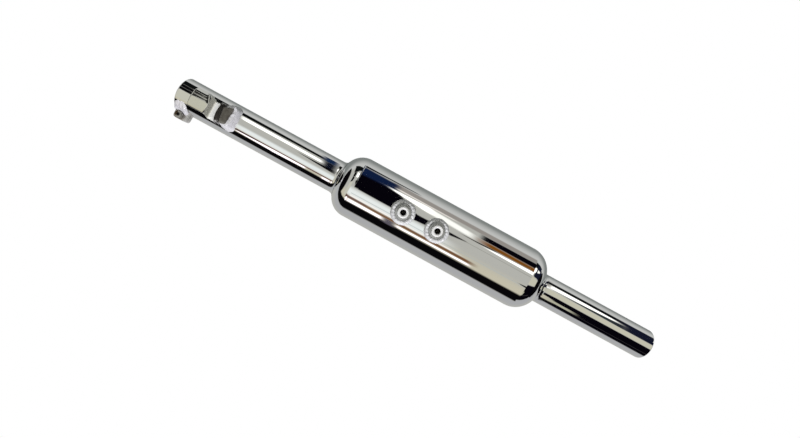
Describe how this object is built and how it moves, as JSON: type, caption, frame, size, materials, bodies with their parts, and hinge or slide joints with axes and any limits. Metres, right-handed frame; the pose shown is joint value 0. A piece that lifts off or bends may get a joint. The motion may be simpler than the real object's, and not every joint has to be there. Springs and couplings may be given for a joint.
{
  "type": "exhaust muffler",
  "caption": "Slim round motorcycle muffler with slip-on clamped inlet, straight-through core, plain tail pipe and threaded hanger bosses.",
  "frame": {"origin": "centre of the inlet mouth, on the pipe axis", "axes": "+X along the axis from inlet to tail, +Z the way the two hanger bosses point"},
  "size_m": [0.494, 0.06, 0.0682],
  "materials": {
    "chrome_shell": "mirror chrome over polished steel",
    "chrome_tube": "mirror chrome over drawn tube",
    "plated_weld": "chrome over rough weld metal, satin",
    "plated_boss": "chrome over turned steel",
    "plated_bracket": "chrome over pressed strap",
    "dull_block": "thin plating, dull and slightly brown",
    "dull_ear": "thin plating, brown in the corners",
    "zinc_hardware": "bright zinc plating",
    "inner_steel": "bare mild steel",
    "steel_wool": "coarse stainless steel wool",
    "glass_wool": "packed glass wool"
  },
  "bodies": {
    "muffler": {"body_shell": "chrome_shell", "front_end_cap": "chrome_shell", "rear_end_cap": "chrome_shell", "inlet_tube": "chrome_tube", "tail_tube": "chrome_tube", "inlet_weld": "plated_weld", "tail_weld": "plated_weld", "hanger_boss_weld_front": "plated_weld", "hanger_boss_weld_rear": "plated_weld", "clamp_ear_weld_upper": "plated_weld", "clamp_ear_weld_lower": "plated_weld", "bracket_block_weld": "plated_weld", "hanger_boss_front": "plated_boss", "hanger_boss_rear": "plated_boss", "bracket_tongue": "plated_bracket", "bracket_block": "dull_block", "clamp_ear_upper": "dull_ear", "clamp_ear_lower": "dull_ear", "clamp_lock_washer": "zinc_hardware", "perforated_core": "inner_steel", "core_sleeve": "inner_steel", "core_support_disc": "inner_steel", "steel_wool_wrap_front": "steel_wool", "steel_wool_wrap_rear": "steel_wool", "glass_wool_packing_front": "glass_wool", "glass_wool_packing_rear": "glass_wool"},
    "screw": {"clamp_screw": "zinc_hardware"},
    "nut": {"clamp_nut": "zinc_hardware"}
  },
  "joints": [
    {"name": "clamp_nut_travel", "type": "slide", "parent": "muffler", "child": "nut", "axis": [0, 0, -1], "range_m": [0, 0.0028]},
    {"name": "clamp_screw_turn", "type": "hinge", "parent": "muffler", "child": "screw", "pos_m": [0.0072, -0.0195, 0], "axis": [0, 0, 1], "range_deg": [0, 1441]}
  ],
  "couplings": [
    {"joint": "clamp_screw_turn", "follows": "clamp_nut_travel", "rad_per_m": 8976}
  ]
}
